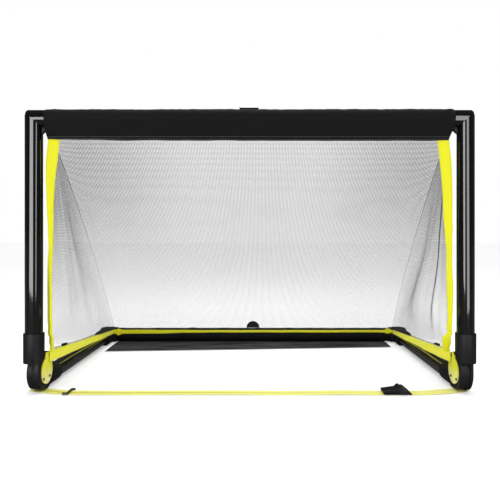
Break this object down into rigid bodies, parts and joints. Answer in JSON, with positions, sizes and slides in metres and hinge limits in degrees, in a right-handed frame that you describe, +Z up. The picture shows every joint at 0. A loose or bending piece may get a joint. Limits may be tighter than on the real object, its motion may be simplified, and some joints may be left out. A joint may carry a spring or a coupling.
{
  "type": "folding goal net",
  "caption": "Light folding goal: black tube frame on floor hinges, telescoping cross tubes, sloped black mesh with yellow webbing, fabric crossbar sleeve and floor strap.",
  "frame": {"origin": "on the floor under the middle of the frame's bounding box", "axes": "+X across the goal to the right as seen from the field, +Y from the mouth to the back, +Z up"},
  "size_m": [1.208, 0.76, 0.7628],
  "materials": {
    "frame_paint": "satin black powder coat",
    "zinc_tube": "satin zinc",
    "hinge_plastic": "fine matte grain",
    "guide_plastic": "matte",
    "cover_plastic": "satin fluorescent yellow",
    "screw_steel": "blackened",
    "pin_steel": "bright zinc",
    "yellow_webbing": "woven fluorescent yellow",
    "sleeve_cloth": "plain woven black",
    "mesh": "fine knotless black mesh",
    "buckle_plastic": "satin",
    "hook_wire": "black coated wire"
  },
  "bodies": {
    "left_upright": {"left_post_tube": "frame_paint", "left_crossbar_tube": "frame_paint", "left_corner_gusset": "frame_paint", "left_post_knuckle": "hinge_plastic", "left_collar_screw": "screw_steel", "left_crossbar_bush": "guide_plastic", "left_edge_webbing": "yellow_webbing", "left_hinge_cover": "cover_plastic", "left_cover_screws": "screw_steel"},
    "right_upright": {"right_post_tube": "frame_paint", "right_crossbar_tube": "frame_paint", "right_corner_gusset": "frame_paint", "right_post_knuckle": "hinge_plastic", "right_collar_screw": "screw_steel", "right_crossbar_bush": "guide_plastic", "right_edge_webbing": "yellow_webbing"},
    "left_base": {"left_arm_knuckle": "hinge_plastic", "left_hinge_pin": "pin_steel", "left_hinge_washer": "guide_plastic", "left_strap_rivet": "pin_steel", "left_arm_tube": "frame_paint", "left_rear_tube": "frame_paint", "left_rear_corner": "hinge_plastic", "left_rear_bush": "guide_plastic", "left_arm_webbing": "yellow_webbing", "left_net_clip": "guide_plastic", "left_eyelet": "screw_steel", "left_back_net": "mesh", "left_side_net": "mesh", "strap_hook": "hook_wire"},
    "right_base": {"right_arm_knuckle": "hinge_plastic", "right_hinge_pin": "pin_steel", "right_hinge_washer": "guide_plastic", "right_strap_rivet": "pin_steel", "right_arm_tube": "frame_paint", "right_rear_tube": "frame_paint", "right_rear_corner": "hinge_plastic", "right_rear_bush": "guide_plastic", "right_arm_webbing": "yellow_webbing", "right_net_clip": "guide_plastic", "right_eyelet": "screw_steel", "right_back_net": "mesh", "right_side_net": "mesh", "right_hinge_cover": "cover_plastic", "right_cover_screws": "screw_steel", "buckle_frame": "buckle_plastic"},
    "crossbar_slider": {"crossbar_centre_tube": "zinc_tube", "crossbar_stop_plugs": "guide_plastic", "crossbar_sleeve": "sleeve_cloth", "crossbar_tab": "sleeve_cloth"},
    "rear_bar": {"rear_centre_tube": "zinc_tube", "rear_stop_plugs": "guide_plastic", "rear_sleeve": "sleeve_cloth", "rear_flap": "sleeve_cloth", "rear_tab": "sleeve_cloth", "rear_webbing": "yellow_webbing", "floor_strap": "yellow_webbing"},
    "lever": {"buckle_lever": "buckle_plastic"}
  },
  "joints": [
    {"name": "left_slide", "type": "slide", "parent": "rear_bar", "child": "left_base", "axis": [1, 0, 0], "range_m": [0, 0.245], "deforming": ["rear_sleeve", "rear_flap", "rear_webbing", "floor_strap", "left_back_net", "right_back_net"]},
    {"name": "right_slide", "type": "slide", "parent": "rear_bar", "child": "right_base", "axis": [-1, 0, 0], "range_m": [0, 0.245]},
    {"name": "left_fold", "type": "hinge", "parent": "left_base", "child": "left_upright", "pos_m": [-0.5775, -0.326, 0.054], "axis": [-1, 0, 0], "range_deg": [0, 90], "deforming": ["left_side_net", "left_edge_webbing", "left_arm_webbing", "rear_tab", "crossbar_tab"]},
    {"name": "right_fold", "type": "hinge", "parent": "right_base", "child": "right_upright", "pos_m": [0.5775, -0.326, 0.054], "axis": [-1, 0, 0], "range_deg": [0, 90], "deforming": ["right_side_net", "right_edge_webbing", "right_arm_webbing"]},
    {"name": "crossbar_slide", "type": "slide", "parent": "left_upright", "child": "crossbar_slider", "axis": [-1, 0, 0], "range_m": [0, 0.245], "deforming": ["crossbar_sleeve"]},
    {"name": "lever_turn", "type": "hinge", "parent": "right_base", "child": "lever", "pos_m": [0.40533, -0.34221, 0.0106], "axis": [0, 1, 0], "range_deg": [0, 100]}
  ],
  "couplings": [
    {"joint": "right_slide", "follows": "left_slide", "ratio": 1},
    {"joint": "right_fold", "follows": "left_fold", "ratio": 1},
    {"joint": "crossbar_slide", "follows": "left_slide", "ratio": 1}
  ]
}
